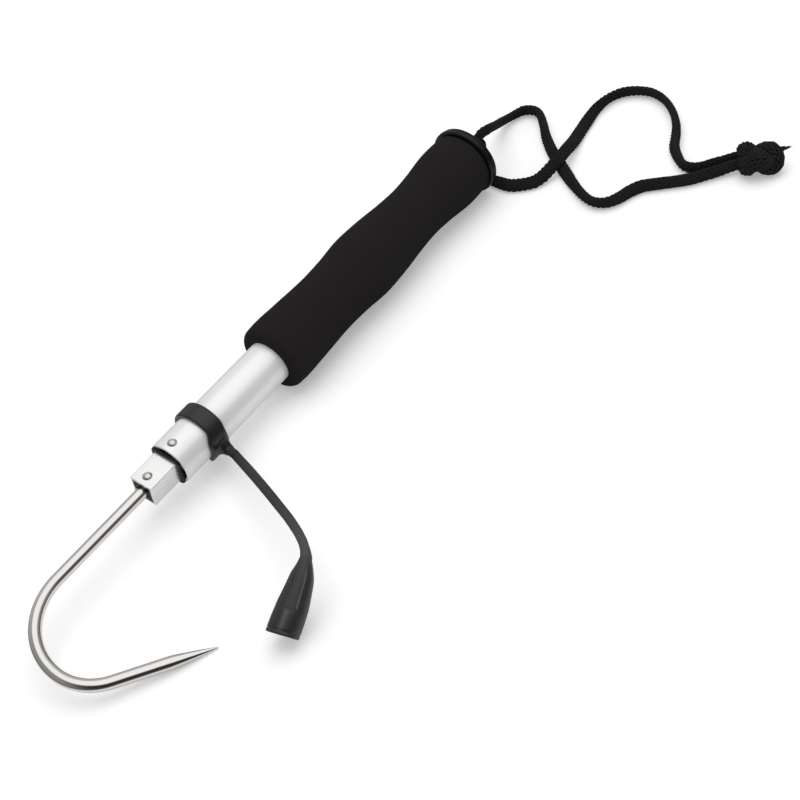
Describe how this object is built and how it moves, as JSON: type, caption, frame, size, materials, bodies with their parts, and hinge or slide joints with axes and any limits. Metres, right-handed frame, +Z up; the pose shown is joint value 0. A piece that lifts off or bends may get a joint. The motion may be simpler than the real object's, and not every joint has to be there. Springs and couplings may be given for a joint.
{
  "type": "telescopic fishing gaff",
  "caption": "Telescopic hand gaff with a sliding square tube, a pointed steel hook, a tethered point guard, a foam grip and a cord wrist loop.",
  "frame": {"origin": "under the middle of the closed gaff without its lanyard, at the height of the surface that it lies on", "axes": "+X along the pole from the hook towards the butt cap, -Y the side that the hook opens to, +Z up"},
  "size_m": [0.4184, 0.1601, 0.0354],
  "materials": {
    "tube_aluminium": "satin",
    "polished_steel": "polished",
    "spring_steel": "satin",
    "black_plastic": "satin",
    "guard_rubber": "satin",
    "grip_foam": "matte",
    "black_cord": "matte"
  },
  "bodies": {
    "handle": {"outer_tube": "tube_aluminium", "grip": "grip_foam", "butt_cap": "black_plastic", "mouth_bush": "black_plastic", "lanyard_bight": "black_cord", "lanyard_upper_leg": "black_cord", "lanyard_lower_leg": "black_cord", "lanyard_knot": "black_cord"},
    "outer_button": {"outer_snap_button": "polished_steel", "outer_leaf_spring": "spring_steel"},
    "inner_section": {"inner_tube": "tube_aluminium", "inner_mouth_plug": "black_plastic", "tail_slider": "black_plastic", "tail_slider_pin": "spring_steel"},
    "inner_button": {"inner_snap_button": "polished_steel", "inner_leaf_spring": "spring_steel"},
    "hook_rod": {"hook": "polished_steel", "rod_slider": "black_plastic", "rod_slider_pin": "spring_steel"},
    "collar": {"guard_collar": "guard_rubber"},
    "guard": {"guard_strap": "guard_rubber", "guard_cap": "guard_rubber"}
  },
  "joints": [
    {"name": "inner_slide", "type": "slide", "parent": "handle", "child": "inner_section", "axis": [-1, 0, 0], "range_m": [0, 0.154]},
    {"name": "hook_slide", "type": "slide", "parent": "inner_section", "child": "hook_rod", "axis": [-1, 0, 0], "range_m": [0, 0.134]},
    {"name": "outer_button_press", "type": "slide", "parent": "handle", "child": "outer_button", "axis": [0, 0.2334, -0.9724], "range_m": [0, 0.0008], "stiffness_N_per_m": 400},
    {"name": "inner_button_press", "type": "slide", "parent": "inner_section", "child": "inner_button", "axis": [0, 0.2334, -0.9724], "range_m": [0, 0.0005], "stiffness_N_per_m": 400},
    {"name": "guard_turn", "type": "hinge", "parent": "handle", "child": "collar", "pos_m": [-0.04515, 0.04279, 0.01773], "axis": [1, 0, 0], "continuous": true},
    {"name": "strap_swing", "type": "hinge", "parent": "collar", "child": "guard", "pos_m": [-0.04515, 0.026, 0.0106], "axis": [0, 0, 1], "range_deg": [-6, 50], "stiffness_Nm_per_rad": 0.02}
  ]
}
